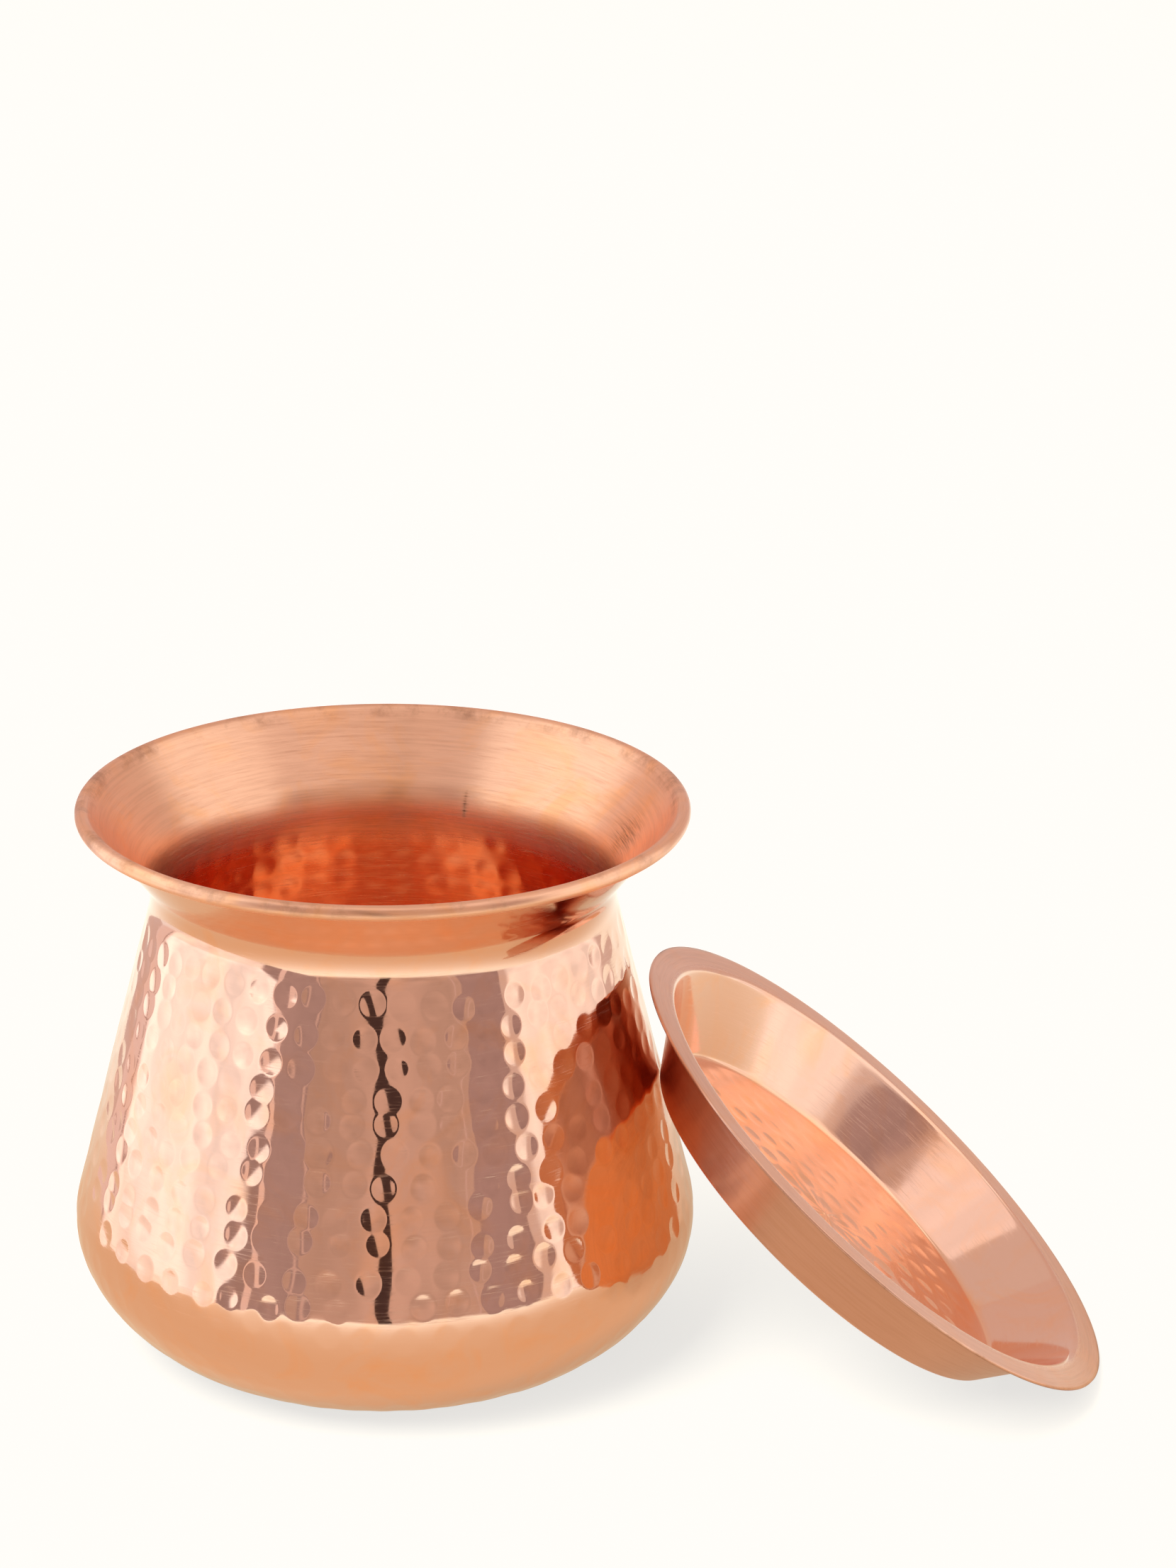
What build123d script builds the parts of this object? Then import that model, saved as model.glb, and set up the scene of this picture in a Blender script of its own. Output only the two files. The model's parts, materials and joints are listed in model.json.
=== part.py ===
from build123d import *
import os
from math import cos, radians, sin

# A flared copper cooking pot with a wired lip, and its sunken lid, which leans
# against the pot. The origin is the middle of the pot's flat sole, +Z is up,
# and the lid leans on the pot's +X side. Millimetres and degrees.

# Pot: driving dimensions
rim_radius = 90.0        # outside of the rolled lip
rim_height = 169.3       # top of the lip above the table
pot_sheet = 0.8          # thickness of the spun sheet
bead_radius = 2.25       # outside of the rolled lip's round section
curl_sweep = 300.0       # how far the sheet wraps round the wire
wire_clearance = 0.05    # between the wire and the sheet round it
belly_radius = 92.9      # widest part of the belly
belly_height = 39.5      # height of the widest part
belly_arc = 31.5         # radius of the belly's round, in section
belly_turn = 29.6        # how far below level the belly's round reaches
wall_angle = 14.15       # the wall's lean from upright, towards the neck
flare_angle = 51.3       # the flared mouth's slope above level
neck_arc = 14.0          # outside radius of the bend between wall and flare

# Lid: driving dimensions
lid_radius = 90.0        # outside of the flat flange, the same as the rim
lid_sheet = 0.7          # thickness of the spun sheet
lid_depth = 23.2         # from the flange's top face to the sole of the dish
lid_mouth_radius = 80.7  # where the dish's wall leaves the flange
lid_sole_radius = 66.1   # where the wall meets the sole
lid_mouth_bend = 1.5     # underside radius of the bend at the flange
lid_sole_bend = 3.1      # underside radius of the bend at the sole

# Lid: where it leans
lid_tilt = 40.7          # the lid's axis, from upright towards +X
lid_foot = 182.65        # where its sole touches the table, along X
lid_offset = -12.9       # the lid's middle, along Y


def polar(centre, radius, angle):
    """The point at this radius and angle from a centre, in a section plane."""
    turn = radians(angle)
    return (centre[0] + radius * cos(turn), centre[1] + radius * sin(turn))


# Belly and sole: the sole's arc is tangent to the table and to the belly's arc.
belly_centre = (belly_radius - belly_arc, belly_height)
dip = sin(radians(belly_turn))
sole_arc = (belly_height - belly_arc * dip) / (1 - dip)
sole_centre = polar(belly_centre, sole_arc - belly_arc, 180 - belly_turn)
wall_foot = polar(belly_centre, belly_arc, wall_angle)

# Lip: the sheet's outer face runs up the flare and then round the wire.
bead_centre = (rim_radius - bead_radius, rim_height - bead_radius)
curl_radius = bead_radius - pot_sheet
flare_normal = flare_angle + 90

# Neck: the centre of its bend lies one radius outside both the wall and the flare.
wall_up = (-sin(radians(wall_angle)), cos(radians(wall_angle)))
up_flare = (-sin(radians(flare_angle)), cos(radians(flare_angle)))
beside_foot = polar(wall_foot, neck_arc, wall_angle)
reach = sum((bead_centre[i] - beside_foot[i]) * up_flare[i] for i in (0, 1))
wall_rise = sum(wall_up[i] * up_flare[i] for i in (0, 1))
wall_length = (reach + curl_radius - neck_arc) / wall_rise
wall_head = tuple(wall_foot[i] + wall_length * wall_up[i] for i in (0, 1))
neck_centre = polar(wall_head, neck_arc, wall_angle)
curl_end = flare_normal - curl_sweep


def pot_face(inset):
    """One face of the pot's sheet, drawn this far inside its outer face."""
    Line((0, inset), (sole_centre[0], inset))
    CenterArc(sole_centre, sole_arc - inset, -90, 90 - belly_turn)
    CenterArc(belly_centre, belly_arc - inset, -belly_turn, belly_turn + wall_angle)
    wall_low = polar(belly_centre, belly_arc - inset, wall_angle)
    wall_high = polar(neck_centre, neck_arc + inset, 180 + wall_angle)
    Line(wall_low, wall_high)
    CenterArc(neck_centre, neck_arc + inset, 180 + wall_angle, flare_normal - 180 - wall_angle)
    flare_low = polar(neck_centre, neck_arc + inset, flare_normal)
    flare_high = polar(bead_centre, curl_radius + inset, flare_normal)
    Line(flare_low, flare_high)
    CenterArc(bead_centre, curl_radius + inset, flare_normal, -curl_sweep)


with BuildPart() as pot_shell:
    with BuildSketch(Plane.XZ):
        with BuildLine():
            pot_face(0)
            pot_face(pot_sheet)
            Line((0, 0), (0, pot_sheet))
            Line(polar(bead_centre, curl_radius, curl_end), polar(bead_centre, bead_radius, curl_end))
        make_face()
    revolve(axis=Axis.Z)

with BuildPart() as rim_wire:
    with BuildSketch(Plane.XZ):
        with Locations(bead_centre):
            Circle(curl_radius - wire_clearance)
    revolve(axis=Axis.Z)

# Lid: its section is drawn in its own frame, with the flange's top face at 0, and
# the frame is tilted and set so that the round of the sole stands on the table.
tilt = radians(lid_tilt)
lid_axis = Vector(sin(tilt), 0, cos(tilt))
lid_across = Vector(cos(tilt), 0, -sin(tilt))
lid_profile = [
    (0, -lid_depth),
    (lid_sole_radius, -lid_depth),
    (lid_mouth_radius, -lid_sheet),
    (lid_radius, -lid_sheet),
]
wall_run = lid_mouth_radius - lid_sole_radius
wall_drop = lid_depth - lid_sheet
wall_slant = (wall_run**2 + wall_drop**2) ** 0.5
round_radius = lid_sole_radius - lid_sole_bend * (wall_slant - wall_run) / wall_drop
round_depth = lid_depth - lid_sole_bend
lid_centre = (
    lid_foot - round_radius * cos(tilt) + round_depth * sin(tilt),
    lid_offset,
    lid_sole_bend + round_radius * sin(tilt) + round_depth * cos(tilt),
)
lid_plane = Plane(origin=lid_centre, x_dir=lid_across, z_dir=(0, -1, 0))

with BuildPart() as lid:
    with BuildSketch(lid_plane):
        with BuildLine():
            FilletPolyline(*lid_profile, radius=[lid_sole_bend, lid_mouth_bend])
            offset(amount=lid_sheet, side=Side.LEFT)
        make_face()
    revolve(axis=Axis(lid_centre, lid_axis))

pot_shell.part.label = "pot_shell"
rim_wire.part.label = "rim_wire"
lid.part.label = "lid"

os.makedirs("parts", exist_ok=True)
export_step(pot_shell.part, "parts/pot_shell.step")
export_step(rim_wire.part, "parts/rim_wire.step")
export_step(lid.part, "parts/lid.step")

print("lid centre", [round(value, 2) for value in lid_centre])
print("gap between lid and pot", round(lid.part.distance_to(pot_shell.part), 3))
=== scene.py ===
# %% [markdown]
# # A hammered copper pot and its sunken lid
# The pot is spun from one copper sheet, 0.8 mm thick: a rounded belly, a wall that
# leans in to a narrow neck, and a flared mouth whose edge is rolled round a wire. Its
# belly and wall are then planished, which means hammered all over with a round-faced
# hammer, and polished. The lid is a shallow spun dish that leans against the pot. The
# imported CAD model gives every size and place. The lesson draws the same sections
# again, finely enough to carry each hammer mark, and then gives each face its finish.

import json
import math

import bpy
import numpy as np
from mathutils import Matrix, Vector


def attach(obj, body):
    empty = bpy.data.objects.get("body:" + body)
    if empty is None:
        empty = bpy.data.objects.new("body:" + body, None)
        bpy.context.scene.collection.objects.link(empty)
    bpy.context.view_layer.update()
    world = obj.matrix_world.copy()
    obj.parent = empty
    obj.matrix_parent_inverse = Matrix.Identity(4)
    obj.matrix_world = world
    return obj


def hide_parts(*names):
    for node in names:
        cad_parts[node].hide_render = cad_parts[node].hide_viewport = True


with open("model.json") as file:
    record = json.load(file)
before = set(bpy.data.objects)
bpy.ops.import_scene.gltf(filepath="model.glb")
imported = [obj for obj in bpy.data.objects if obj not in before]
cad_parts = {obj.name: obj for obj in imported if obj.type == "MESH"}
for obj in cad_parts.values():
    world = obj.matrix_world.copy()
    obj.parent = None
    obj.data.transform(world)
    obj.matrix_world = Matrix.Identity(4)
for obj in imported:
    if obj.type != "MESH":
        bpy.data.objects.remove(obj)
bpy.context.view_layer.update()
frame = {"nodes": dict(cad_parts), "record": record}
slots = [row["slot"] for row in frame["record"]["materials"]]
MM = 0.001
print("nodes", sorted(frame["nodes"]), "slots", slots)

# %% [markdown]
# ## One way to draw a spun shape
# Everything here was shaped on a lathe, so each piece is a section turned about an
# axis. A section is a list of straight runs and arcs. Each point keeps three things:
# where it is, which way is out of the metal, and how far along the section it lies.
# The last two are what hammer marks and polishing lines are measured by.


# %% Runs and arcs of a section
def run(start, end, step):
    """Points of a straight run, in mm, with the normal on the left of its direction."""
    start, end = np.array(start, float), np.array(end, float)
    length = np.hypot(*(end - start))
    share = np.linspace(0, 1, max(2, round(length / step) + 1))[:, None]
    side = np.array([end[1] - start[1], start[0] - end[0]]) / length
    return start + share * (end - start), np.repeat(side[None], len(share), 0)


def arc(centre, radius, first, last, step, out=1):
    """Points of an arc from one angle to another; out is -1 where the metal is outside it."""
    length = abs(math.radians(last - first)) * radius
    angle = np.radians(np.linspace(first, last, max(3, round(length / step) + 1)))
    ray = np.stack([np.cos(angle), np.sin(angle)], 1)
    return np.array(centre) + radius * ray, out * ray


def section(*parts):
    """Joins the parts into (points, normals, distance along), dropping doubled points."""
    points = np.concatenate([part[0] for part in parts])
    normals = np.concatenate([part[1] for part in parts])
    gaps = np.hypot(*np.diff(points, axis=0).T)
    keep = np.concatenate([[True], gaps > 1e-4])
    points, normals = points[keep], normals[keep]
    along = np.concatenate([[0], np.cumsum(np.hypot(*np.diff(points, axis=0).T))])
    return points, normals, along


def polar(centre, radius, angle):
    """The point at this radius and angle from a centre."""
    turn = math.radians(angle)
    return centre[0] + radius * math.cos(turn), centre[1] + radius * math.sin(turn)


# %% [markdown]
# ## The pot's section
# These are the part's own driving dimensions, in millimetres and degrees. The sole's
# arc is tangent to the table and to the belly, the wall is straight, the neck is a
# bend of 14 mm, and the flare ends in a curl of 300 degrees round the lip's wire.

# %% The pot's dimensions
RIM_RADIUS, RIM_HEIGHT, POT_SHEET = 90.0, 169.3, 0.8
BEAD_RADIUS, CURL_SWEEP = 2.25, 300.0
BELLY_RADIUS, BELLY_HEIGHT, BELLY_ARC, BELLY_TURN = 92.9, 39.5, 31.5, 29.6
WALL_ANGLE, FLARE_ANGLE, NECK_ARC = 14.15, 51.3, 14.0

belly = (BELLY_RADIUS - BELLY_ARC, BELLY_HEIGHT)
dip = math.sin(math.radians(BELLY_TURN))
sole_arc = (BELLY_HEIGHT - BELLY_ARC * dip) / (1 - dip)
sole = polar(belly, sole_arc - BELLY_ARC, 180 - BELLY_TURN)
wall_foot = polar(belly, BELLY_ARC, WALL_ANGLE)
bead = (RIM_RADIUS - BEAD_RADIUS, RIM_HEIGHT - BEAD_RADIUS)
curl = BEAD_RADIUS - POT_SHEET
wall_up = np.array(polar((0, 0), 1, WALL_ANGLE + 90))
up_flare = np.array(polar((0, 0), 1, FLARE_ANGLE + 90))
reach = (np.array(bead) - polar(wall_foot, NECK_ARC, WALL_ANGLE)) @ up_flare
wall_head = wall_foot + (reach + curl - NECK_ARC) / (wall_up @ up_flare) * wall_up
neck = polar(wall_head, NECK_ARC, WALL_ANGLE)
print("neck's bend starts at", np.round(wall_head, 2), "mm")


# %% Both faces of the pot's sheet
def pot_face(inset, fine):
    """One face of the sheet from the sole's middle to the curl's end; fine is the step."""
    out = 1 if inset == 0 else -1
    back = 180 + WALL_ANGLE
    flare = FLARE_ANGLE + 90
    parts = [
        run((0, inset), (sole[0], inset), 2.0),
        arc(sole, sole_arc - inset, -90, -BELLY_TURN, 1.5 * fine),
        arc(belly, BELLY_ARC - inset, -BELLY_TURN, WALL_ANGLE, fine),
        run(polar(belly, BELLY_ARC - inset, WALL_ANGLE), polar(neck, NECK_ARC + inset, back), fine),
        arc(neck, NECK_ARC + inset, back, flare, 1.2, -1),
        run(polar(neck, NECK_ARC + inset, flare), polar(bead, curl + inset, flare), 1.2),
        arc(bead, curl + inset, flare, flare - CURL_SWEEP, 0.45 * fine / 0.55, -1),
    ]
    points, normals, along = section(*parts)
    return points, normals * out, along


outer_points, outer_normals, outer_along = pot_face(0, 0.55)
inner_points, inner_normals, inner_along = pot_face(POT_SHEET, 0.9)
print(len(outer_points), "outer rings,", len(inner_points), "inner rings")

# %% [markdown]
# ## Hammer marks
# A planishing hammer leaves a round, shallow hollow with a crisp edge, like a slice off
# a large ball. Here each is about 7.5 mm across and a quarter of a millimetre deep, so
# its edge meets the wall at about 7 degrees. That is little depth, but on a mirror it
# turns the reflection round inside every mark. A bump map can't bend the outline or the
# edges of the reflections as truly, so the marks are pressed into the mesh itself. The
# smith works round the pot in rows, by eye, so the rows drift and the marks differ.

# %% Where the hammer fell on the pot
chance = np.random.default_rng(7)
COLUMNS, ROWS, ROW_PITCH = 52, 19, 8.7
TOP_ROW_HEIGHT, SOFT_HEIGHT, SOLE_HEIGHT = 132.5, 42.0, 20.0
SOLE_SPACING, FIRST_ALONG = 10.5, 52.0
HALF_TALL, HALF_WIDE, MARK_DEPTH = 4.1, 3.75, 0.23
MISSED, SOFTER = 0.03, 0.65


def wall_marks():
    """Marks on the belly and wall, as (distance along, turn, half height, half width, depth)."""
    rise = int(np.argmin(np.abs(outer_points[:, 1] - TOP_ROW_HEIGHT) + (outer_normals[:, 0] < 0.5)))
    marks, shift = [], 0.0
    for row in range(ROWS):
        level = outer_along[rise] - ROW_PITCH * row
        if level < FIRST_ALONG:
            break
        shift += chance.normal(0, 0.28)
        radius, height = [np.interp(level, outer_along, outer_points[:, i]) for i in (0, 1)]
        count = COLUMNS if height > SOLE_HEIGHT else round(2 * math.pi * radius / SOLE_SPACING)
        sway = chance.uniform(0, 2 * math.pi)
        for place in range(count):
            if chance.random() < MISSED:
                continue
            drift = 1.3 * math.sin(place * 0.42 + sway) + chance.normal(0, 0.55)
            turn = 2 * math.pi * (place + shift + chance.normal(0, 0.07)) / count
            size = chance.normal(1, 0.06)
            soft = 1.0 if height > SOFT_HEIGHT else SOFTER
            depth = MARK_DEPTH * soft * chance.uniform(0.75, 1.15)
            marks.append((level + drift, turn, HALF_TALL * size, HALF_WIDE * size, depth))
    return marks


pot_marks = wall_marks()
print(len(pot_marks), "hammer marks on the pot")


# %% Pressing marks into a face
def press(points, along, turns, marks, edge=1.0):
    """Depth at each ring and turn, in mm. An edge of 1 is crisp and 2 is rounded off."""
    depth = np.zeros((len(points), turns))
    step = 2 * math.pi / turns
    for level, turn, tall, wide, deep in marks:
        rings = np.flatnonzero(np.abs(along - level) < tall)
        if len(rings) == 0:
            continue
        radius = max(points[rings, 0].mean(), 1.0)
        reach = min(turns // 2 - 1, math.ceil(wide / radius / step) + 1)
        first = round(turn / step)
        near = np.arange(first - reach, first + reach + 1)
        across = (near * step - turn)[None] * points[rings, 0][:, None] / wide
        up = (along[rings] - level)[:, None] / tall
        cap = deep * np.clip(1 - across**2 - up**2, 0, None) ** edge
        spot = np.ix_(rings, near % turns)
        depth[spot] = np.maximum(depth[spot], cap)
    return depth


# %% The slow unevenness of hand work
WAVES, MEAN_RADIUS = 40, 80.0


def unevenness(along, turns, shortest, longest, reach):
    """How far hand work pushed each ring and turn in, in mm: slow waves of random length and way.
    The waves only push inwards, so the sheet keeps within its drawn face."""
    turn = np.arange(turns) * (2 * math.pi / turns)
    total = np.zeros((len(along), turns))
    for _ in range(WAVES):
        wave = 2 * math.pi / chance.uniform(shortest, longest)
        way = chance.uniform(0, 2 * math.pi)
        rounds = round(wave * MEAN_RADIUS * math.cos(way))
        rise = wave * math.sin(way) * along[:, None]
        total += np.cos(rise + rounds * turn[None] + chance.uniform(0, 2 * math.pi))
    return np.clip(reach * (total / math.sqrt(WAVES / 2) + 2.2), 0, None)


print(WAVES, "slow waves will make each hand-worked face uneven")


# %% [markdown]
# ## Turning a section into a closed mesh
# The outside needs a vertex every half millimetre to hold the marks, and the inside
# half as many round. So the two faces are spun separately, and they meet in one row of
# five-sided faces along the sheet's cut edge, which leaves the mesh closed. Each vertex
# also carries numbers that the materials read, such as how far along the section it is.


# %% Spinning two faces into one closed piece
def ring_points(points, normals, turns, depth):
    """Vertices of a face in metres, its marks pressed in against its normals."""
    turn = np.arange(turns) * (2 * math.pi / turns)
    radius = points[:, 0][:, None] - normals[:, 0][:, None] * depth
    height = points[:, 1][:, None] - normals[:, 1][:, None] * depth
    x, y = radius * np.cos(turn), radius * np.sin(turn)
    return np.stack([x, y, height], -1).reshape(-1, 3) * MM


def ring_quads(rings, turns, start):
    """Faces between neighbouring rings whose vertices begin at start."""
    ring, turn = np.meshgrid(np.arange(rings - 1), np.arange(turns), indexing="ij")
    here, there = start + ring * turns, start + (ring + 1) * turns
    after = (turn + 1) % turns
    corners = [here + turn, here + after, there + after, there + turn]
    return np.stack(corners, -1).reshape(-1, 4)


def spin(name, first, second, turns, numbers):
    """A closed mesh from two faces, each (points, normals, depth), with named numbers per vertex."""
    half = turns // 2
    a, b = ring_points(*first[:2], turns, first[2]), ring_points(*second[:2], half, second[2])
    rings_a, rings_b = len(first[0]), len(second[0])
    b = b.reshape(rings_b, half, 3)[::-1].reshape(-1, 3)
    # Each face starts on the axis, where its first ring is a single point.
    a, b = a[turns - 1:], b[: len(b) - half + 1]
    a_start, b_start = 1, len(a)
    pole = len(a) + len(b) - 1
    k, m = np.arange(turns), np.arange(half)
    last_a = a_start + (rings_a - 2) * turns
    last_b = b_start + (rings_b - 2) * half
    groups = [
        np.stack([0 * k, a_start + (k + 1) % turns, a_start + k], 1),
        ring_quads(rings_a - 1, turns, a_start),
        np.stack([last_a + 2 * m, last_a + 2 * m + 1, last_a + (2 * m + 2) % turns,
                  b_start + (m + 1) % half, b_start + m], 1),
        ring_quads(rings_b - 1, half, b_start),
        np.stack([last_b + m, last_b + (m + 1) % half, 0 * m + pole], 1),
    ]
    mesh = bpy.data.meshes.new(name)
    corners = np.concatenate([group.ravel() for group in groups])
    counts = np.concatenate([np.full(len(group), group.shape[1]) for group in groups])
    mesh.vertices.add(pole + 1)
    mesh.vertices.foreach_set("co", np.concatenate([a, b]).astype(np.float32).ravel())
    mesh.loops.add(len(corners))
    mesh.loops.foreach_set("vertex_index", corners.astype(np.int32))
    mesh.polygons.add(len(counts))
    mesh.polygons.foreach_set("loop_start", (np.cumsum(counts) - counts).astype(np.int32))
    mesh.update(calc_edges=True)
    mesh.validate()
    mesh.shade_smooth()
    for title, (on_a, on_b) in numbers.items():
        on_a = np.broadcast_to(on_a, (rings_a, turns)).ravel()[turns - 1:]
        on_b = np.broadcast_to(on_b, (rings_b, half))[::-1].ravel()[: (rings_b - 1) * half + 1]
        layer = mesh.attributes.new(title, "FLOAT", "POINT")
        layer.data.foreach_set("value", np.concatenate([on_a, on_b]).astype(np.float32))
    place = np.concatenate([a, b])
    grain = np.stack([-place[:, 1], place[:, 0], 0 * place[:, 0]], 1)
    for title, values in (("own_place", place), ("grain", grain)):
        layer = mesh.attributes.new(title, "FLOAT_VECTOR", "POINT")
        layer.data.foreach_set("vector", values.astype(np.float32).ravel())
    piece = bpy.data.objects.new(name, mesh)
    bpy.context.scene.collection.objects.link(piece)
    print(name, len(mesh.vertices), "vertices,", len(mesh.polygons), "faces")
    return piece


# %% Two helpers for numbers that change along a section
def column(values):
    """Values per ring, shaped to stand beside the turns."""
    return np.asarray(values, float)[:, None]


def ramp(values, low, high):
    """0 below low, 1 above high and smooth between; falls if high is below low."""
    share = np.clip((np.asarray(values, float) - low) / (high - low), 0, 1)
    return share * share * (3 - 2 * share)


print("a ramp from 0 to 10 mm is", round(float(ramp(2.5, 0, 10)), 2), "a quarter of the way up")

# %% The pot's two faces, with their marks pressed in
POT_TURNS = 1080
INSIDE_TURNS = POT_TURNS // 2
outer_depth = press(outer_points, outer_along, POT_TURNS, pot_marks, 1.1)
worked = ramp(outer_points[:, 1], 2, 9) * ramp(outer_points[:, 1], 142, 128)
outer_depth += column(worked) * unevenness(outer_along, POT_TURNS, 15, 36, 0.05)
# Inside, each mark shows through the sheet as a wider and shallower bump.
inner_marks = []
for level, turn, tall, wide, deep in pot_marks:
    spot = [np.interp(level, outer_along, outer_points[:, i]) for i in (0, 1)]
    nearest = np.argmin(np.hypot(*(inner_points - spot).T))
    inner_marks.append((inner_along[nearest], turn, 1.1 * tall, 1.1 * wide, 0.75 * deep))
inner_depth = press(inner_points, inner_along, INSIDE_TURNS, inner_marks, 1.6)
print("pressed in by up to", round(float(outer_depth.max()), 2), "mm")

# %% [markdown]
# ## Where the pot's finish changes
# The outside was buffed to a mirror. The flare's inner face was only brushed, and round
# the neck, where the wheel could not reach well, some of its black is left in the lines.
# Later a hand left a smudge on the flare, and something scratched it. Each of these is a
# number on the vertices, which the material reads.

# %% Finish numbers for the pot
BUFFED_BELOW, BRUSHED_ABOVE, LIP_BEGINS, LIP_FULL = 127.0, 138.0, 165.5, 167.5
BLACK_RISES, BLACK_FALLS = (130.0, 138.0), (148.0, 140.0)
SMUDGE_TURN, SMUDGE_REACH, SMUDGE_HEIGHT, SMUDGE_TALL = math.radians(13), 0.11, 152.0, 5.0
SCRATCH_TURN, SCRATCH_REACH, SCRATCH_FOOT, SCRATCH_HEAD = math.radians(71.3), 0.009, 140.0, 149.0


def hump(values, middle, reach):
    """1 at the middle, falling off smoothly on both sides."""
    return np.exp(-((values - middle) / reach) ** 2)


inner_turn = np.arange(INSIDE_TURNS) * (2 * math.pi / INSIDE_TURNS)
inner_height = inner_points[:, 1]
wheel_black = column(ramp(inner_height, *BLACK_RISES) * ramp(inner_height, *BLACK_FALLS))
smudge = hump(inner_turn, SMUDGE_TURN, SMUDGE_REACH) * column(hump(inner_height, SMUDGE_HEIGHT, SMUDGE_TALL))
scratch_tall = (ramp(inner_height, SCRATCH_FOOT, SCRATCH_FOOT + 2)
                * ramp(inner_height, SCRATCH_HEAD, SCRATCH_HEAD - 2))
scratch = hump(inner_turn, SCRATCH_TURN, SCRATCH_REACH) * column(scratch_tall)
inner_dirt = 0.4 * wheel_black + 1.6 * smudge + 1.8 * scratch
inner_brushed = column(0.4 + 0.6 * ramp(inner_height, BUFFED_BELOW, BRUSHED_ABOVE)) + 0.5 * inner_dirt
on_lip = [ramp(points[:, 1], LIP_BEGINS, LIP_FULL) for points in (outer_points, inner_points)]
pot_numbers = {
    "along": (column(outer_along * MM), column(inner_along * MM)),
    "lip": (column(on_lip[0]), column(on_lip[1])),
    "brushed": (column(0.4 * on_lip[0]), inner_brushed),
    # The inside's even share of the orange layer is painted glow that brightens it.
    "tarnish_and_glow": (0.0, 0.4),
    "dull_and_shade": (0.0, 0.0),
    "dirt": (0.0, inner_dirt),
}
print("the inside turns from buffed to brushed", BUFFED_BELOW, "to", BRUSHED_ABOVE, "mm up")

# %% The pot
pot = spin("pot_body", (outer_points, outer_normals, outer_depth),
           (inner_points, inner_normals, -inner_depth), POT_TURNS, pot_numbers)
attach(pot, "pot")
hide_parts("pot_shell")

# %% [markdown]
# ## The lid
# The lid is a flat flange, a sloping wall and a flat floor, spun from 0.7 mm sheet. Its
# floor is planished too. It is drawn upright about its own axis, and then placed as the
# CAD places it: tilted by 40.7 degrees, with the round of its sole on the table.

# %% The lid's section
LID_RADIUS, LID_SHEET, LID_DEPTH = 90.0, 0.7, 23.2
MOUTH_RADIUS, SOLE_RADIUS, MOUTH_BEND, SOLE_BEND = 80.7, 66.1, 1.5, 3.1
LID_TILT, LID_FOOT, LID_OFFSET = 40.7, 182.65, -12.9
BEND_STEP, WALL_STEP = 0.35, 0.9

wall_run, wall_drop = MOUTH_RADIUS - SOLE_RADIUS, LID_DEPTH - LID_SHEET
wall_slope = math.degrees(math.atan2(wall_drop, wall_run))
half_bend = math.tan(math.radians(wall_slope / 2))
sole_bend = (SOLE_RADIUS - SOLE_BEND * half_bend, SOLE_BEND - LID_DEPTH)
mouth_bend = (MOUTH_RADIUS + MOUTH_BEND * half_bend, -LID_SHEET - MOUTH_BEND)


def lid_face(raised, fine):
    """One face of the lid's sheet; raised is 0 underneath and the sheet's thickness on top."""
    out = -1 if raised else 1
    foot, head = wall_slope - 90, wall_slope + 90
    parts = [
        run((0, raised - LID_DEPTH), (sole_bend[0], raised - LID_DEPTH), fine),
        arc(sole_bend, SOLE_BEND - raised, -90, foot, BEND_STEP),
        run(polar(sole_bend, SOLE_BEND - raised, foot),
            polar(mouth_bend, MOUTH_BEND + raised, head), WALL_STEP),
        arc(mouth_bend, MOUTH_BEND + raised, head, 90, BEND_STEP, -1),
        run((mouth_bend[0], raised - LID_SHEET), (LID_RADIUS, raised - LID_SHEET), WALL_STEP),
    ]
    points, normals, along = section(*parts)
    return points, normals * out, along


under_points, under_normals, under_along = lid_face(0, 0.8)
top_points, top_normals, top_along = lid_face(LID_SHEET, 0.7)
print("lid's wall slopes", round(wall_slope, 1), "degrees;", len(top_points), "rings on top")


# %% Marks on the lid's floor
FLOOR_RINGS, OUTER_RING, RING_PITCH, FLOOR_SPACING = 7, 59.0, 8.8, 10.0
FLOOR_HALF_ACROSS, FLOOR_HALF_ALONG, FLOOR_DEPTH = 3.6, 4.0, 0.28


def floor_marks():
    """Rings of marks round the lid's floor, slightly longer along the ring than across."""
    marks = []
    for ring in range(FLOOR_RINGS):
        radius = OUTER_RING - RING_PITCH * ring
        count = max(5, round(2 * math.pi * radius / FLOOR_SPACING))
        start = chance.uniform(0, 2 * math.pi)
        for i in range(count):
            level = radius + chance.normal(0, 0.6)
            turn = start + 2 * math.pi * (i + chance.normal(0, 0.07)) / count
            size = chance.normal(1, 0.07)
            depth = FLOOR_DEPTH * chance.uniform(0.7, 1.1)
            marks.append((level, turn, FLOOR_HALF_ACROSS * size, FLOOR_HALF_ALONG * size, depth))
    return marks


lid_marks = floor_marks()
LID_TURNS = 720
top_depth = press(top_points, top_along, LID_TURNS, lid_marks)
top_worked = column(ramp(top_points[:, 0], 88, 78))
top_depth += top_worked * unevenness(top_along, LID_TURNS, 24, 70, 0.035)
under_depth = press(under_points, under_along, LID_TURNS // 2, lid_marks, 1.6)
print(len(lid_marks), "hammer marks on the lid's floor")

# %% Finish numbers for the lid
lid_faces = (top_points, under_points)
in_dish = [ramp(points[:, 0], MOUTH_RADIUS + 2, MOUTH_RADIUS - 1.5) for points in lid_faces]
on_floor = [ramp(points[:, 0], SOLE_RADIUS + 1, SOLE_RADIUS - 1) for points in lid_faces]
on_edge = [ramp(points[:, 0], LID_RADIUS - 1.2, LID_RADIUS) for points in lid_faces]
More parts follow.
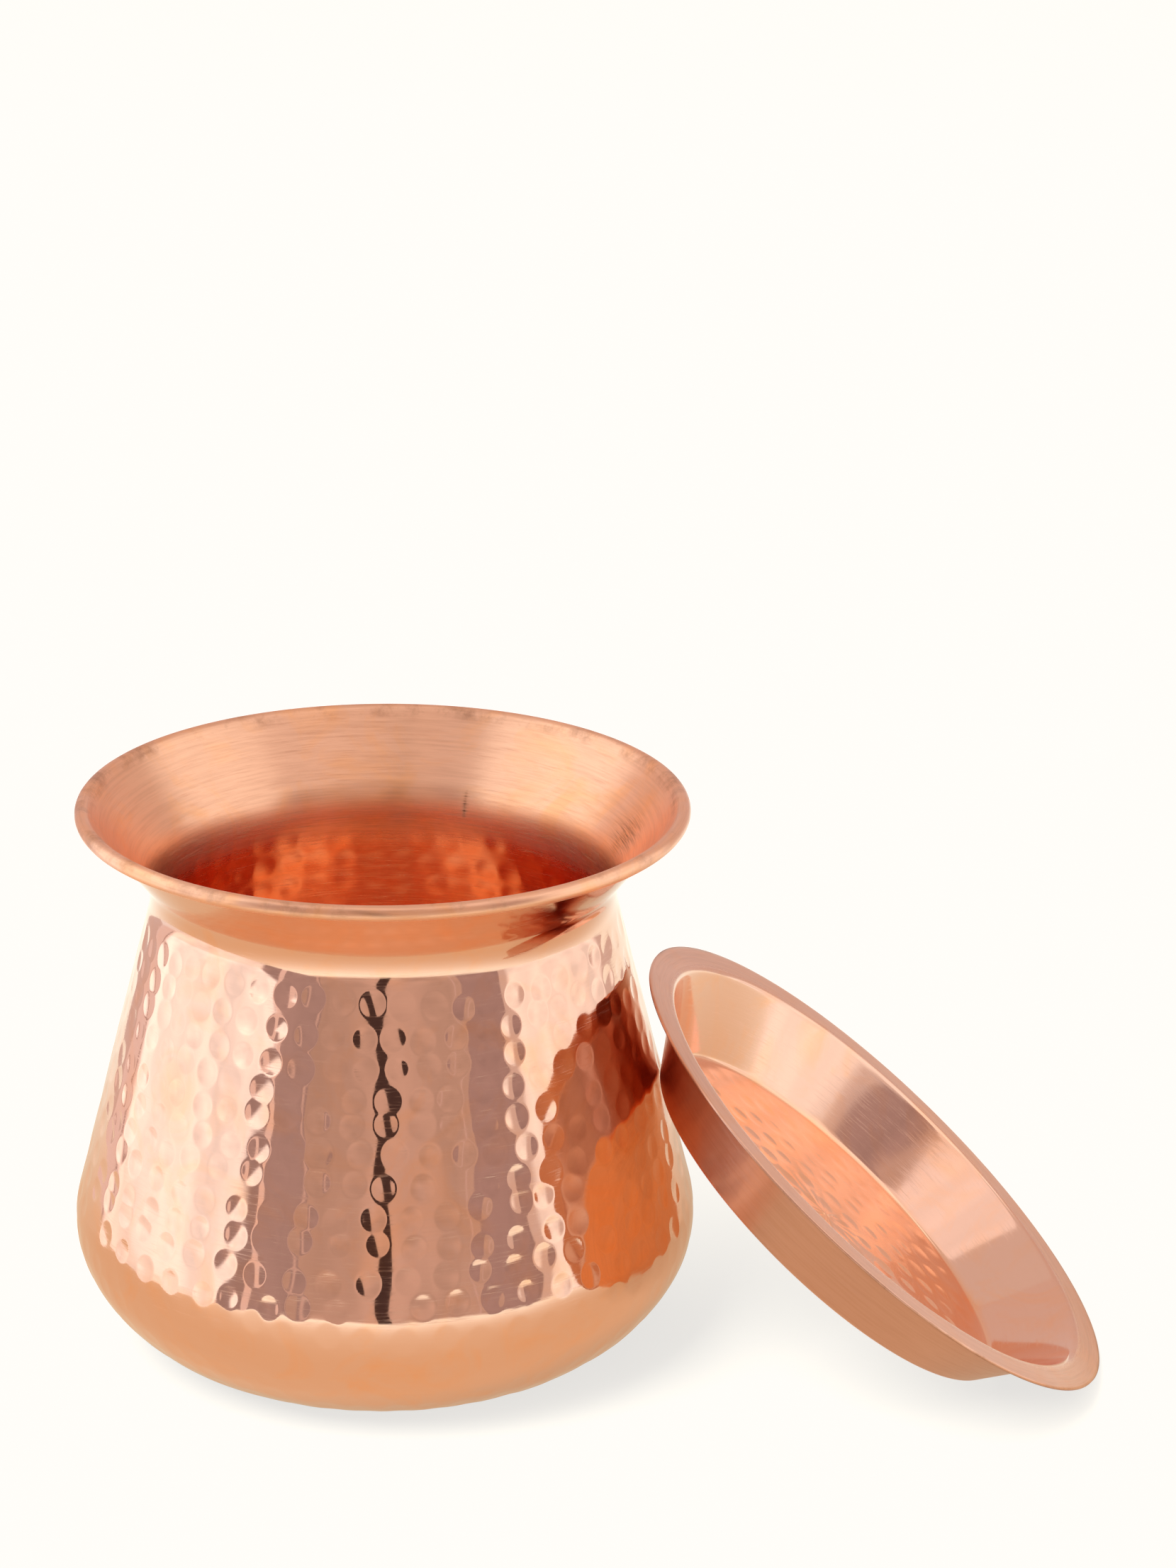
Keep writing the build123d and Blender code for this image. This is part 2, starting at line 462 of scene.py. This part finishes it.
# The dish's wall was buffed; the flange, the floor and all of the underside only brushed.
brushed_top = np.maximum(1 - in_dish[0], 0.25 * on_floor[0])
lid_numbers = {
    "along": (column(top_along * MM), column(under_along * MM)),
    "lip": (column(on_edge[0]), column(on_edge[1])),
    "brushed": (column(brushed_top), 1.0),
    # Under the lid's floor the orange layer is partly painted warm light bounced from the pot.
    "tarnish_and_glow": (column(0.25 * (1 - in_dish[0]) + 0.5 * on_floor[0]), column(0.7 * on_floor[1])),
    # On the lid's underside the duller colour also paints the shade of a face turned down towards the table.
    "dull_and_shade": (column(0.4 * (1 - in_dish[0])), column(1 - on_floor[1])),
    "dirt": (0.0, 0.0),
}
print("the buffed wall is", round(MOUTH_RADIUS - SOLE_RADIUS, 1), "mm wide in plan")

# %% The lid, placed as it leans
tilt = math.radians(LID_TILT)
sole_drop = LID_DEPTH - SOLE_BEND
lid_centre = Vector((
    LID_FOOT - sole_bend[0] * math.cos(tilt) + sole_drop * math.sin(tilt),
    LID_OFFSET,
    SOLE_BEND + sole_bend[0] * math.sin(tilt) + sole_drop * math.cos(tilt),
)) * MM
# Spun from the top face first, so the section runs the other way round the metal.
lid = spin("lid_dish", (top_points, top_normals, top_depth),
           (under_points, under_normals, -under_depth), LID_TURNS, lid_numbers)
lid.data.flip_normals()
lean = Matrix.Rotation(tilt, 4, "Y")
lid.data.transform(Matrix.Translation(lid_centre) @ lean)
# Moving a mesh leaves its own numbers as they are, so the grain is turned with it here.
grain_layer = lid.data.attributes["grain"].data
lid_grain = np.zeros(3 * len(grain_layer), np.float32)
grain_layer.foreach_get("vector", lid_grain)
lid_grain = lid_grain.reshape(-1, 3) @ np.array(lean.to_3x3()).T
grain_layer.foreach_set("vector", lid_grain.astype(np.float32).ravel())
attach(lid, "lid")
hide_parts("lid")
print("lid's middle", [round(value / MM, 2) for value in lid_centre])

# %% [markdown]
# ## Colours and nodes
# Colours are written as they look on a screen, in hex, and one function turns them
# into the linear values that the shaders need. One more function adds a node with its
# settings and its inputs.


# %% Helpers for materials
def linear(colour):
    """A #rrggbb screen colour as linear RGBA."""
    parts = [int(colour[i:i + 2], 16) / 255 for i in (1, 3, 5)]
    return [v / 12.92 if v <= 0.04045 else ((v + 0.055) / 1.055) ** 2.4 for v in parts] + [1.0]


def add(tree, kind, inputs=None, **settings):
    """Adds a node. Inputs are values or other nodes' outputs, by name or number."""
    made = tree.nodes.new(kind)
    for setting, value in settings.items():
        setattr(made, setting, value)
    for key, value in (inputs or {}).items():
        if isinstance(value, bpy.types.NodeSocket):
            tree.links.new(value, made.inputs[key])
        else:
            made.inputs[key].default_value = value
    return made


def empty_material(name):
    """A material and its node tree, with nothing in it."""
    material = bpy.data.materials.new(name)
    material.use_nodes = True
    material.node_tree.nodes.clear()
    return material, material.node_tree


def new_material(name):
    """A material with a metal's Principled shader and its output."""
    material, tree = empty_material(name)
    shader = add(tree, "ShaderNodeBsdfPrincipled", {"Metallic": 1.0})
    add(tree, "ShaderNodeOutputMaterial", {"Surface": shader.outputs[0]})
    return material, tree, shader


print("mid grey #808080 is", round(linear("#808080")[0], 3), "as linear light")


# %% [markdown]
# ## Copper, spun, planished and buffed
# Clean copper reflects nearly all red light, about half of the green and a third of
# the blue, and each further bounce deepens it, which is why the inside glows orange.
# The buffing wheel ran round the pot as it turned, so its fine lines run round too. A
# line is far too fine to draw, so here they are 0.4 mm apart. Where the metal was only
# brushed it is rougher, keeps wider streaks, and looks satin. Handling leaves brown
# tarnished patches, and the lip is rubbed brown where it is knocked. The same orange is
# laid evenly over the pot's inside as painted glow, and under the lid's floor as painted
# warm light bounced from the pot. A duller colour on the lid's underside is painted shade.

# %% Values for the copper
COPPER = "#F3C2A6"
# Orange of tarnished patches, also painted over the pot's inside and under the lid's floor as glow.
TARNISH_AND_GLOW = "#FFB67C"
WORN = "#8A5638"
# Duller copper of unbuffed metal, also painted on the lid's underside as its shade.
DULL_AND_SHADE = "#DBA890"
STREAK = "#C48C6C"
SOOT = "#7E4C34"
POLISH_LINE, BRUSH_STREAK = 0.4 * MM, 0.9 * MM
TARNISH_PATCH, KNOCK_SIZE = 24 * MM, 16 * MM
LINE_HEIGHT, LINE_STRETCH = 0.003 * MM, 1 / 24
print("clean copper reflects", [round(v, 2) for v in linear(COPPER)[:3]])


# %% Lines that run round the axis
def turned_lines(tree, place, along):
    """Noise for the buffing lines and for the brush's wider streaks, drawn out round the axis."""
    axes = add(tree, "ShaderNodeSeparateXYZ", {0: place})
    x = add(tree, "ShaderNodeMath", {0: axes.outputs["X"], 1: LINE_STRETCH}, operation="MULTIPLY")
    y = add(tree, "ShaderNodeMath", {0: axes.outputs["Y"], 1: LINE_STRETCH}, operation="MULTIPLY")
    drawn_out = add(tree, "ShaderNodeCombineXYZ", {0: x.outputs[0], 1: y.outputs[0], 2: along}).outputs[0]
    lines = add(tree, "ShaderNodeTexNoise",
                {"Vector": drawn_out, "Scale": 1 / POLISH_LINE, "Detail": 3.0, "Roughness": 0.65})
    streaks = add(tree, "ShaderNodeTexNoise",
                  {"Vector": drawn_out, "Scale": 1 / BRUSH_STREAK, "Detail": 4.0, "Roughness": 0.6})
    return lines.outputs["Fac"], streaks.outputs["Fac"]


print("a line is", round(1 / LINE_STRETCH), "times as long as it is wide")


# %% The copper's colour
def copper_colour(tree, place, lines, streaks, worn, numbers):
    """Clean copper, then tarnished patches with painted glow, dulled metal with painted shade, brushed
    streaks, rubbed lip and black, in that order.
    """
    blotches = add(tree, "ShaderNodeTexNoise", {"Vector": place, "Scale": 1 / TARNISH_PATCH, "Detail": 4.0,
                                                "Roughness": 0.6, "Distortion": 1.2})
    patch = add(tree, "ShaderNodeMapRange", {0: blotches.outputs["Fac"], 1: 0.48, 2: 0.72, 3: 0.0, 4: 0.45})
    brown = add(tree, "ShaderNodeMath", {0: patch.outputs[0], 1: numbers["tarnish_and_glow"]},
                operation="ADD", use_clamp=True)
    dark_streak = add(tree, "ShaderNodeMapRange", {0: streaks, 1: 0.42, 2: 0.7, 3: 0.0, 4: 0.28})
    brushed_share = add(tree, "ShaderNodeMapRange", {0: numbers["brushed"], 3: 0.06, 4: 1.0})
    streak = add(tree, "ShaderNodeMath", {0: dark_streak.outputs[0], 1: brushed_share.outputs[0]},
                 operation="MULTIPLY")
    # Black from the wheel stays in the polishing lines.
    in_lines = add(tree, "ShaderNodeMapRange", {0: lines, 1: 0.42, 2: 0.66, 3: 0.05, 4: 0.55})
    black = add(tree, "ShaderNodeMath", {0: in_lines.outputs[0], 1: numbers["dirt"]}, operation="MULTIPLY")
    layers = ((brown.outputs[0], TARNISH_AND_GLOW), (numbers["dull_and_shade"], DULL_AND_SHADE), (streak.outputs[0], STREAK),
              (worn, WORN), (black.outputs[0], SOOT))
    below = linear(COPPER)
    for share, colour in layers:
        below = add(tree, "ShaderNodeMix", {0: share, 6: below, 7: linear(colour)},
                    data_type="RGBA").outputs[2]
    return below


print("copper in", len((TARNISH_AND_GLOW, DULL_AND_SHADE, STREAK, WORN, SOOT)), "layers over", COPPER)


# %% The copper's material
def spun_copper(name, polished, satin):
    """Buffed copper. Polished and satin are its roughness where it was buffed and only brushed."""
    material, tree, shader = new_material(name)
    place = add(tree, "ShaderNodeAttribute", attribute_name="own_place").outputs["Vector"]
    titles = ("along", "lip", "brushed", "dirt", "tarnish_and_glow", "dull_and_shade")
    numbers = {title: add(tree, "ShaderNodeAttribute", attribute_name=title).outputs["Fac"]
               for title in titles}
    lines, streaks = turned_lines(tree, place, numbers["along"])
    # Knocks rub the lip's edge brown in places.
    knocks = add(tree, "ShaderNodeTexNoise", {"Vector": place, "Scale": 1 / KNOCK_SIZE, "Detail": 8.0,
                                              "Roughness": 0.72})
    rubbed = add(tree, "ShaderNodeMapRange", {0: knocks.outputs["Fac"], 1: 0.50, 2: 0.66, 3: 0.0, 4: 0.4})
    worn = add(tree, "ShaderNodeMath", {0: rubbed.outputs[0], 1: numbers["lip"]},
               operation="MULTIPLY").outputs[0]
    colour = copper_colour(tree, place, lines, streaks, worn, numbers)
    gloss = add(tree, "ShaderNodeMapRange", {0: numbers["brushed"], 3: polished, 4: satin}, clamp=False)
    scuffs = add(tree, "ShaderNodeMapRange", {0: lines, 1: 0.5, 2: 0.75, 3: 0.0, 4: 0.16})
    streaky = add(tree, "ShaderNodeMath", {0: gloss.outputs[0], 1: scuffs.outputs[0]}, operation="ADD")
    duller = add(tree, "ShaderNodeMath", {0: worn, 1: 0.25, 2: streaky.outputs[0]},
                 operation="MULTIPLY_ADD")
    bump = add(tree, "ShaderNodeBump", {"Height": lines, "Strength": 1.0, "Distance": LINE_HEIGHT})
    # Lines that run round the axis smear a reflection across them and leave it sharp along them.
    grain = add(tree, "ShaderNodeAttribute", attribute_name="grain")
    way = add(tree, "ShaderNodeVectorTransform", {0: grain.outputs["Vector"]}, vector_type="VECTOR",
              convert_from="OBJECT", convert_to="WORLD")
    for output, title in ((colour, "Base Color"), (duller.outputs[0], "Roughness"),
                          (bump.outputs[0], "Normal"), (way.outputs[0], "Tangent")):
        tree.links.new(output, shader.inputs[title])
    shader.inputs["Anisotropic"].default_value = 0.85
    shader.inputs["Anisotropic Rotation"].default_value = 0.25
    print(name, "has", len(tree.nodes), "nodes")
    return material


# %% The copper of the pot and of the lid
pot.data.materials.append(spun_copper("pot_copper_planished_and_buffed", 0.05, 0.3))
lid.data.materials.append(spun_copper("lid_copper_spun_and_buffed", 0.08, 0.28))

# %% [markdown]
# ## The wire in the lip
# The wire is drawn copper that was never polished, and the curl hides almost all of it.
# So it keeps the CAD's own solid, with a plain drawn finish mottled by a fine grain.

# %% Drawn copper for the wire
WIRE_GRAIN = 0.8 * MM
wire, wire_tree, wire_shader = new_material("wire_copper_drawn")
wire_grain = add(wire_tree, "ShaderNodeTexNoise", {"Scale": 1 / WIRE_GRAIN, "Detail": 3.0})
wire_tint = add(wire_tree, "ShaderNodeMix",
                {0: wire_grain.outputs["Fac"], 6: linear(COPPER), 7: linear(WORN)}, data_type="RGBA")
wire_tree.links.new(wire_tint.outputs[2], wire_shader.inputs["Base Color"])
wire_shader.inputs["Roughness"].default_value = 0.35
frame["nodes"]["rim_wire"].data.materials.clear()
frame["nodes"]["rim_wire"].data.materials.append(wire)
print("rim_wire has", wire.name)

# %% [markdown]
# ## The studio
# Polished metal has no look of its own: it shows the room. So the room is built as for
# a catalogue: a light tent about a metre wide, with glowing cloth at both sides and on
# top, and a front that is open towards the dim room where the camera stands. The cloths
# only show in reflections, so from any other side the view stays clean.


# %% How a cloth is hung
FOLD_SIZE, CLOTH_CELLS = 1 / 7, 24
hung = []


def only_reflected(thing):
    """Shows a stage piece to shiny surfaces and to nothing else."""
    thing.visible_camera = thing.visible_diffuse = thing.visible_shadow = False
    thing.visible_transmission = thing.visible_volume_scatter = False


def card(name, corners, light, ends=(0, 0), folds=0.0):
    """A glowing four-sided cloth: corners low left, low right, high right and high left, in metres,
    and linear RGB light. Ends are how far it fades at left and right; folds is how unevenly it glows."""
    low_left, low_right, high_right, high_left = (np.array(corner, float) for corner in corners)
    side = np.linspace(0, 1, CLOTH_CELLS + 1)
    s, t = np.meshgrid(side, side, indexing="ij")
    s, t = s[..., None], t[..., None]
    spots = (1 - t) * ((1 - s) * low_left + s * low_right) + t * ((1 - s) * high_left + s * high_right)
    line = CLOTH_CELLS + 1
    first = (np.arange(CLOTH_CELLS)[:, None] * line + np.arange(CLOTH_CELLS)).ravel()
    quads = np.stack([first, first + line, first + line + 1, first + 1], 1)
    mesh = bpy.data.meshes.new(name)
    mesh.from_pydata(spots.reshape(-1, 3).tolist(), [], quads.tolist())
    width = np.linalg.norm(low_right - low_left)
    fade = ramp(s * width, 0, ends[0] or 1e-6) * ramp((1 - s) * width, 0, ends[1] or 1e-6)
    layer = mesh.attributes.new("fade", "FLOAT", "POINT")
    layer.data.foreach_set("value", (fade if any(ends) else fade * 0 + 1).ravel().astype(np.float32))
    material, tree = empty_material(name)
    share = add(tree, "ShaderNodeAttribute", attribute_name="fade").outputs["Fac"]
    spot = add(tree, "ShaderNodeTexCoord").outputs["Object"]
    cloth = add(tree, "ShaderNodeTexNoise", {"Vector": spot, "Scale": 1 / FOLD_SIZE, "Detail": 2.0})
    level = add(tree, "ShaderNodeMapRange",
                {0: cloth.outputs["Fac"], 1: 0.3, 2: 0.7, 3: 1 - folds, 4: 1 + folds})
    lamp = add(tree, "ShaderNodeEmission", {"Color": (*light, 1.0), "Strength": level.outputs[0]})
    clear = add(tree, "ShaderNodeBsdfTransparent")
    mixed = add(tree, "ShaderNodeMixShader", {0: share, 1: clear.outputs[0], 2: lamp.outputs[0]})
    add(tree, "ShaderNodeOutputMaterial", {"Surface": mixed.outputs[0]})
    mesh.materials.append(material)
    made = bpy.data.objects.new(name, mesh)
    bpy.context.scene.collection.objects.link(made)
    only_reflected(made)
    hung.append(name)


def wall(first, second, low=0.0, high=1.0, lean=(0, 0)):
    """Corners of an upright wall between two plan points, each shifted by its lean at the top."""
    way = np.subtract(second, first) / np.linalg.norm(np.subtract(second, first))
    tops = [np.add(point, way * shift) for point, shift in zip((first, second), lean)]
    return (*first, low), (*second, low), (*tops[1], high), (*tops[0], high)


LEFT, RIGHT, FRONT, TOP = -0.47, 0.60, -0.47, 1.0
BELOW, ABOVE = -0.4, 1.3
print("the tent is", round(RIGHT - LEFT, 2), "m wide and", TOP, "m high")

# %% [markdown]
# ### The bright cloths
# Two bright sides and a slightly dimmer top give the pot its two broad highlights. The
# left side is three cloths, one above the other, because its edges slant one way near
# the table and the other way higher up.

# %% The bright cloths
DAYLIGHT, DAYLIGHT_HIGH, BOUNCED = (1.34, 1.42, 1.46), (1.3, 1.36, 1.36), (1.2, 1.18, 1.12)
NEUTRAL, WARM_TOP = (1.22, 1.22, 1.18), (1.06, 0.99, 0.95)
LEFT_NEAR, LEFT_FAR, LEFT_SPLIT = -0.345, 0.235, 0.2
SOFT_ENDS = (0.02, 0.02)

card("cloth_left", wall((LEFT, LEFT_NEAR), (LEFT, LEFT_FAR), 0, LEFT_SPLIT, (-0.16, 0.10)),
     DAYLIGHT, SOFT_ENDS, 0.24)
card("cloth_left_high", wall((LEFT - 0.002, -0.44), (LEFT - 0.002, 0.335), LEFT_SPLIT, TOP, (0.09, 0.3)),
     DAYLIGHT_HIGH, SOFT_ENDS, 0.2)
card("cloth_left_foot", wall((LEFT, LEFT_NEAR), (LEFT, LEFT_FAR), BELOW, 0), BOUNCED, SOFT_ENDS, 0.2)
card("cloth_right", wall((RIGHT, -0.41), (RIGHT, 0.24), BELOW, TOP, (0.1, 0.3)), NEUTRAL, (0.01, 0.05), 0.2)
card("cloth_top", ((LEFT, FRONT, 1.08), (RIGHT, FRONT, 0.84), (RIGHT, 0.10, TOP), (LEFT, 0.10, TOP)),
     WARM_TOP, folds=0.08)
print("cloths", hung)

# %% [markdown]
# ### The dim front
# Between the bright sides the pot shows the room in front: flaps of cloth in shade, the
# hems that catch a little light, and one narrow gap that is nearly black.

# %% The front and its seams
SHADED, SHADED_RIGHT, ROOM = (0.43, 0.34, 0.33), (0.42, 0.32, 0.31), (0.60, 0.46, 0.385)
HEM, SEAM, DARK_GAP = (0.66, 0.52, 0.47), (0.50, 0.38, 0.34), (0.07, 0.045, 0.04)
FLAP_LEFT_END, HEM_WIDTH, HEM_ENDS = -0.235, 0.014, (0.004, 0.004)
HEM_RIGHT_START = 0.19

card("side_left", wall((LEFT - 0.01, FRONT), (LEFT - 0.01, -0.1), BELOW, ABOVE), SHADED, folds=0.12)
card("flap_left", wall((-0.445, FRONT - 0.01), (FLAP_LEFT_END, FRONT - 0.01), BELOW, ABOVE),
     SHADED, folds=0.12)
card("room_in_front", wall((-0.445, FRONT - 0.02), (RIGHT, FRONT - 0.02), BELOW, ABOVE), ROOM, folds=0.17)
card("flap_right", wall((0.24, FRONT), (RIGHT, -0.42), BELOW, ABOVE, (0.30, 0)), SHADED_RIGHT, folds=0.12)
card("hem_left", wall((FLAP_LEFT_END - HEM_WIDTH, FRONT), (FLAP_LEFT_END, FRONT), BELOW, ABOVE),
     HEM, HEM_ENDS)
card("hem_right", wall((HEM_RIGHT_START, FRONT), (HEM_RIGHT_START + HEM_WIDTH, FRONT), BELOW, ABOVE,
                       (0.34, 0.34)), HEM, HEM_ENDS)
card("gap_in_front", wall((0.064, FRONT + 0.005), (0.102, FRONT + 0.005), BELOW, TOP, (-0.2, -0.2)),
     DARK_GAP)
card("seam_left", wall((LEFT + 0.005, 0.227), (LEFT + 0.005, 0.240), -0.05, 0.4, (0.12, 0.12)),
     SEAM, (0.003, 0.003))
print("cloths", hung)

# %% The room beyond, seen past the cloths' edges
FAR, FAR_BELOW, FAR_ABOVE = 6.0, -3, 9
WALL_LIT, WALL_BACK, WALL_PLAIN = (0.90, 0.76, 0.71), (0.72, 0.57, 0.50), (0.73, 0.62, 0.56)

card("beyond_left", wall((-FAR, -FAR), (-FAR, FAR), FAR_BELOW, FAR_ABOVE), WALL_LIT)
card("beyond_back", wall((-FAR, FAR), (FAR, FAR), FAR_BELOW, FAR_ABOVE), WALL_BACK)
card("beyond_right", wall((FAR, -FAR), (FAR, FAR), FAR_BELOW, FAR_ABOVE), WALL_PLAIN)
card("beyond_top", [(x, y, FAR_ABOVE) for x, y in ((-FAR, -FAR), (FAR, -FAR), (FAR, FAR), (-FAR, FAR))],
     WALL_PLAIN)
print("cards in all", len(hung))

# %% [markdown]
# ## The paper table
# The table is paper, lit from above and a little from below, which is how a catalogue
# keeps its ground white and its shadows faint. The camera sees one sheet and the metal
# another. On the metal's sheet, close to the pot, the pot's shade and the warm light its
# copper bounces onto the paper are painted in as a darker, warmer colour.

# %% How paper is made and laid
def paper(name):
    """A matt material for paper, and the node tree and shader to finish it with."""
    material, tree, shader = new_material(name)
    for title, value in (("Metallic", 0.0), ("Roughness", 1.0), ("Specular IOR Level", 0.0),
                         ("Emission Strength", 1.0)):
        shader.inputs[title].default_value = value
    return material, tree, shader


def sheet_of_paper(name, corners, height, material):
    """A flat rectangle of paper between two corners."""
    (left, front), (right, back) = corners
    mesh = bpy.data.meshes.new(name)
    spots = [(left, front, height), (right, front, height), (right, back, height), (left, back, height)]
    mesh.from_pydata(spots, [], [(0, 1, 2, 3)])
    mesh.materials.append(material)
    made = bpy.data.objects.new(name, mesh)
    bpy.context.scene.collection.objects.link(made)
    made.visible_shadow = False
    return made


# %% The floor that the camera sees
# Paper's fibres are too fine to draw, so its tone changes over 3 mm instead.
GROUND, GROUND_GLOW, FLOOR_EDGE, PAPER_TONE = (0.31, 0.305, 0.295), (0.75, 0.73, 0.69), 8.0, 3 * MM
white, tree, shader = paper("white_paper_lit_through")
fibres = add(tree, "ShaderNodeTexNoise", {"Scale": 1 / PAPER_TONE, "Detail": 2.0})
tone = add(tree, "ShaderNodeMix", {0: fibres.outputs["Fac"], 6: (*GROUND, 1.0),
                                   7: (*(0.97 * v for v in GROUND), 1.0)}, data_type="RGBA")
tree.links.new(tone.outputs[2], shader.inputs["Base Color"])
shader.inputs["Emission Color"].default_value = (*GROUND_GLOW, 1.0)
floor = sheet_of_paper("floor", ((-FLOOR_EDGE, -FLOOR_EDGE), (FLOOR_EDGE, FLOOR_EDGE)), 0, white)
floor.visible_glossy = False
print("floor", 2 * FLOOR_EDGE, "m wide")

# %% The table that the metal sees
NEAR_POT_SHADE_AND_BOUNCE, FAR_OFF = (0.66, 0.49, 0.31, 1.0), (1.0, 1.06, 0.95, 1.0)
WARM_UNTIL, PALE_FROM, BLACK = 0.09, 0.40, (0.0, 0.0, 0.0, 1.0)
SHARE_REFLECTED, SHARE_GLOWING = 0.3, 0.66
TABLE_LEFT, TABLE_BACK, TABLE_FRONT, TABLE_DROP = -0.28, 3.0, FRONT - 0.04, -0.5 * MM
warm, tree, shader = paper("white_paper_painted_with_shade_and_bounce")
spot = add(tree, "ShaderNodeTexCoord").outputs["Object"]
# The lid stands beside the pot, so the painted patch of shade and bounced light is twice as wide as it is
# deep.
narrowed = add(tree, "ShaderNodeVectorMath", {0: spot, 1: (0.5, 1.0, 1.0)}, operation="MULTIPLY")
distance = add(tree, "ShaderNodeVectorMath", {0: narrowed.outputs[0]}, operation="LENGTH")
paler = add(tree, "ShaderNodeMapRange", {0: distance.outputs["Value"], 1: WARM_UNTIL, 2: PALE_FROM},
            interpolation_type="SMOOTHSTEP")
# Near the pot this colour is painted shade and painted warm light bounced from the copper; far off it is
# plain paper.
shade_and_bounce_colour = add(tree, "ShaderNodeMix", {0: paler.outputs[0], 6: NEAR_POT_SHADE_AND_BOUNCE, 7: FAR_OFF}, data_type="RGBA")
for part, title in ((SHARE_REFLECTED, "Base Color"), (SHARE_GLOWING, "Emission Color")):
    scaled = add(tree, "ShaderNodeMix", {0: part, 6: BLACK, 7: shade_and_bounce_colour.outputs[2]}, data_type="RGBA")
    tree.links.new(scaled.outputs[2], shader.inputs[title])
# Its front edge hangs away into the dark, so it fades out there.
axes = add(tree, "ShaderNodeSeparateXYZ", {0: spot})
hang = add(tree, "ShaderNodeMapRange", {0: axes.outputs["Y"], 1: TABLE_FRONT, 2: FRONT + 0.05})
tree.links.new(hang.outputs[0], shader.inputs["Alpha"])
table = sheet_of_paper("table", ((TABLE_LEFT, TABLE_FRONT), (RIGHT, TABLE_BACK)), TABLE_DROP, warm)
only_reflected(table)
print("table", round(RIGHT - TABLE_LEFT, 2), "m wide")

# %% [markdown]
# ## The lamps
# The pale surroundings light the paper evenly from all round. One soft lamp, high at
# the left of the camera, adds the faint shadow to the right of the pot and the lid.

# %% The surroundings and the key light
KEY_SIZE, KEY_WATTS, KEY_PLACE = 0.8, 31.0, Vector((-0.55, -0.85, 1.15))
world = bpy.data.worlds.new("pale_studio")
bpy.context.scene.world = world
world.use_nodes = True
sky = world.node_tree.nodes["Background"]
sky.inputs["Color"].default_value = (1.0, 0.985, 0.955, 1.0)
sky.inputs["Strength"].default_value = 1.0

key_data = bpy.data.lights.new("key_light", "AREA")
key_data.size, key_data.energy = KEY_SIZE, KEY_WATTS
key = bpy.data.objects.new("key_light", key_data)
key.matrix_world = Matrix.Translation(KEY_PLACE) @ KEY_PLACE.to_track_quat("Z", "Y").to_matrix().to_4x4()
bpy.context.scene.collection.objects.link(key)
key.visible_glossy = key.visible_camera = False
print("key light", round(KEY_PLACE.length, 2), "m from the pot's foot")

# %% [markdown]
# ## The camera
# It looks down at the pot by about 19 degrees through a long lens from 1.4 m away,
# which keeps the rim's ellipse and the belly in natural proportion. Light is bounced
# many times inside the pot, where each bounce makes the copper deeper in colour.

# %% The camera
PITCH, ROLL, LENS, CAMERA_PLACE = 19.4045, 0.5366, 105.79, (0.05980, -1.26948, 0.62163)
camera_data = bpy.data.cameras.new("camera")
camera_data.lens, camera_data.sensor_width, camera_data.sensor_fit = LENS, 36.0, "AUTO"
camera_data.clip_start, camera_data.clip_end = 0.05, 50
camera = bpy.data.objects.new("camera", camera_data)
aim = Matrix.Rotation(math.radians(90 - PITCH), 4, "X") @ Matrix.Rotation(math.radians(ROLL), 4, "Z")
camera.matrix_world = Matrix.Translation(CAMERA_PLACE) @ aim
bpy.context.scene.collection.objects.link(camera)
bpy.context.scene.camera = camera
print("camera", round(Vector(CAMERA_PLACE).length, 2), "m from the pot's foot")

# %% The picture's tones
WHITE = (1.0, 0.984, 0.941)
KNEE, KNEE_DROP = 0.86, 0.15
scene = bpy.context.scene
scene.view_settings.view_transform = "Standard"
scene.view_settings.look = "None"
# Paper that is brighter than white ends at a slightly warm white.
scene.view_settings.use_curve_mapping = True
tones = scene.view_settings.curve_mapping
for curve, white_level in zip(tones.curves[:3], WHITE):
    curve.points.new(KNEE, KNEE - KNEE_DROP * (1 - white_level))
    curve.points[-1].location = (1.0, white_level)
tones.extend = "HORIZONTAL"
tones.update()
scene.cycles.use_denoising = True
scene.cycles.max_bounces = 16
scene.cycles.glossy_bounces = 10
scene.cycles.caustics_reflective = False
print("white paper ends at", WHITE)
